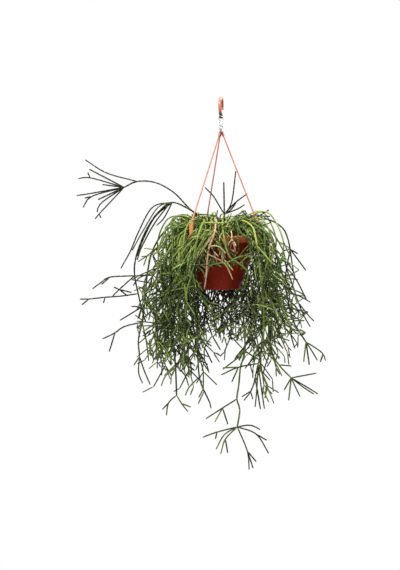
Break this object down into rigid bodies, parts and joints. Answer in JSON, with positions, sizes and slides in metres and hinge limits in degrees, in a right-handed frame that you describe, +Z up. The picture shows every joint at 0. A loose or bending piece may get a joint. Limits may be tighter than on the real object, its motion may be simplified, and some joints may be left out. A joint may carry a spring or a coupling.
{
  "type": "potted rhipsalis",
  "caption": "Rhipsalis with leafless trailing stems in a hanging plastic pot, with a hook, a swivel and moulded hanger strands.",
  "frame": {"origin": "the point at the top of the hook's inner curve, where the hook bears on what holds it up", "axes": "+Z up along the hanger, -Y towards the front of the plant, +X to the right of the front view"},
  "size_m": [0.4192, 0.282, 0.6271],
  "materials": {
    "hanger_plastic": "satin terracotta plastic",
    "steel": "bright plated steel",
    "pot_plastic": "semi-gloss terracotta-red plastic",
    "soil": "dark damp potting soil",
    "stem": "satin green living stem"
  },
  "bodies": {
    "hook": {"hook": "hanger_plastic", "swivel_eye": "steel"},
    "pot_and_plant": {"swivel_barrel": "steel", "hub": "hanger_plastic", "strand_right": "hanger_plastic", "strand_back": "hanger_plastic", "strand_left": "hanger_plastic", "pot": "pot_plastic", "soil": "soil", "spray_arch_left": "stem", "spray_arch_right": "stem", "spray_bottom": "stem", "spray_cluster": "stem", "spray_crown": "stem", "spray_front_curl": "stem", "spray_front_left": "stem", "spray_front_right": "stem", "spray_high_left": "stem", "spray_left_edge": "stem", "spray_left_fork": "stem", "spray_low_left": "stem", "spray_low_right": "stem", "spray_right_edge": "stem", "spray_star_right": "stem", "spray_trailing_01": "stem", "spray_trailing_02": "stem", "spray_trailing_03": "stem", "spray_trailing_04": "stem", "spray_trailing_05": "stem", "spray_trailing_06": "stem", "spray_trailing_07": "stem", "spray_trailing_08": "stem", "spray_trailing_09": "stem", "spray_trailing_10": "stem", "spray_trailing_11": "stem", "spray_trailing_12": "stem", "spray_trailing_13": "stem", "spray_trailing_14": "stem", "spray_trailing_15": "stem", "spray_trailing_16": "stem", "spray_trailing_17": "stem", "spray_trailing_18": "stem", "spray_trailing_19": "stem", "spray_trailing_20": "stem", "spray_trailing_21": "stem", "spray_trailing_22": "stem", "spray_trailing_23": "stem", "spray_trailing_24": "stem", "spray_trailing_25": "stem", "spray_trailing_26": "stem", "spray_trailing_27": "stem", "spray_trailing_28": "stem", "spray_trailing_29": "stem", "spray_trailing_30": "stem", "spray_trailing_31": "stem", "spray_under_pot": "stem"}
  },
  "joints": [
    {"name": "swivel", "type": "hinge", "parent": "hook", "child": "pot_and_plant", "pos_m": [0, 0, -0.041], "axis": [0, 0, 1], "continuous": true}
  ]
}
